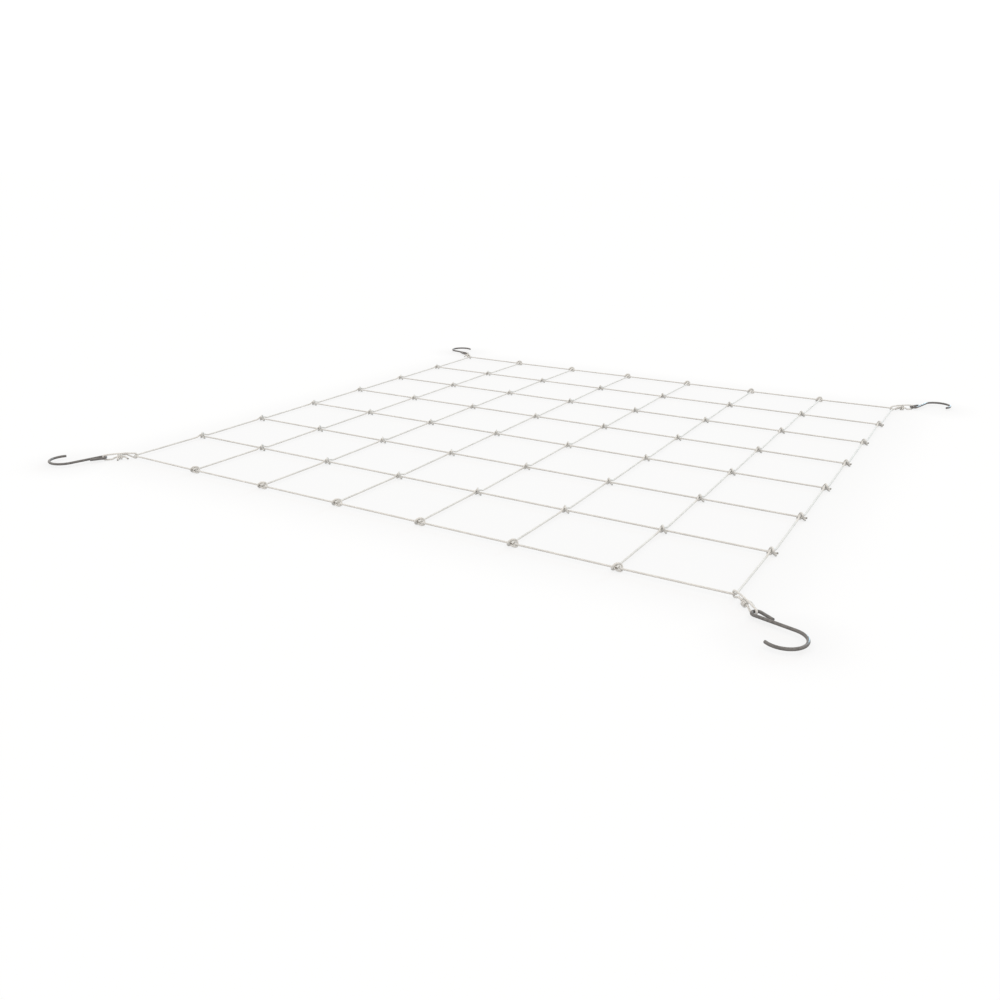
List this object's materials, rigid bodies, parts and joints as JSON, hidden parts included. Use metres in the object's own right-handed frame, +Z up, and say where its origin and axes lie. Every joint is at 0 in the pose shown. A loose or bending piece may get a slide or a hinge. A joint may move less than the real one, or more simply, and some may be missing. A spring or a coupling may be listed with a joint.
{
  "type": "trellis netting",
  "caption": "Square net of white elastic cord with clove-hitch knots at its crossings, and a cord loop with an open wire hook at each corner that stretches it between poles.",
  "frame": {"origin": "on the floor under the middle of the net", "axes": "+Z up, +X along the front edge to the right, +Y from the front edge to the back"},
  "size_m": [0.8372, 0.8372, 0.0082],
  "materials": {
    "cord": "braided white elastic cord",
    "hook_steel": "dark drawn wire, satin"
  },
  "bodies": {
    "root": {"border_cord": "cord", "long_cord_1": "cord", "long_cord_2": "cord", "long_cord_3": "cord", "long_cord_4": "cord", "long_cord_5": "cord", "long_cord_6": "cord", "cross_cord_1": "cord", "cross_cord_2": "cord", "cross_cord_3": "cord", "cross_cord_4": "cord", "cross_cord_5": "cord", "cross_cord_6": "cord", "corner_loop_back_right": "cord", "corner_loop_back_left": "cord", "corner_loop_front_left": "cord", "corner_loop_front_right": "cord", "hook_back_right": "hook_steel", "hook_back_left": "hook_steel", "hook_front_left": "hook_steel", "hook_front_right": "hook_steel"}
  },
  "joints": []
}
